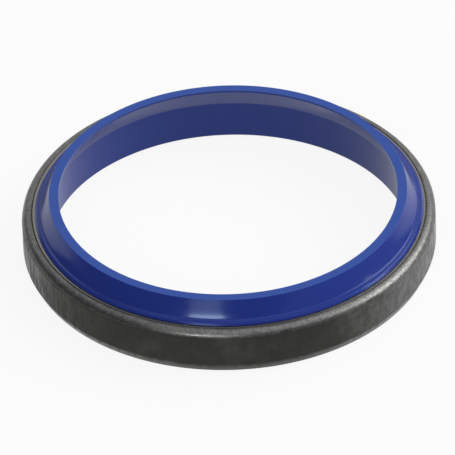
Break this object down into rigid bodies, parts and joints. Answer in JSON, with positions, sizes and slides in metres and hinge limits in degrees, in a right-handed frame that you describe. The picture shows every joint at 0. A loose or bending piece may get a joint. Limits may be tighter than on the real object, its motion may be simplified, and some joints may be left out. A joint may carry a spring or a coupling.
{
  "type": "wiper seal",
  "caption": "Metal-cased rod wiper seal: a blue polyurethane wiping ring moulded on a drawn steel case that presses into a housing.",
  "frame": {"origin": "middle of the case's foot, in the plane of that foot", "axes": "+Z along the rod's axis, out of the housing towards the dirty side; X and Y are any two radial directions"},
  "size_m": [0.06, 0.06, 0.01],
  "materials": {
    "case_steel": "dark drawn steel, satin, with draw marks",
    "blue_polyurethane": "royal blue moulded polyurethane, soft gloss"
  },
  "bodies": {
    "root": {"steel_case": "case_steel", "wiper_ring": "blue_polyurethane"}
  },
  "joints": []
}
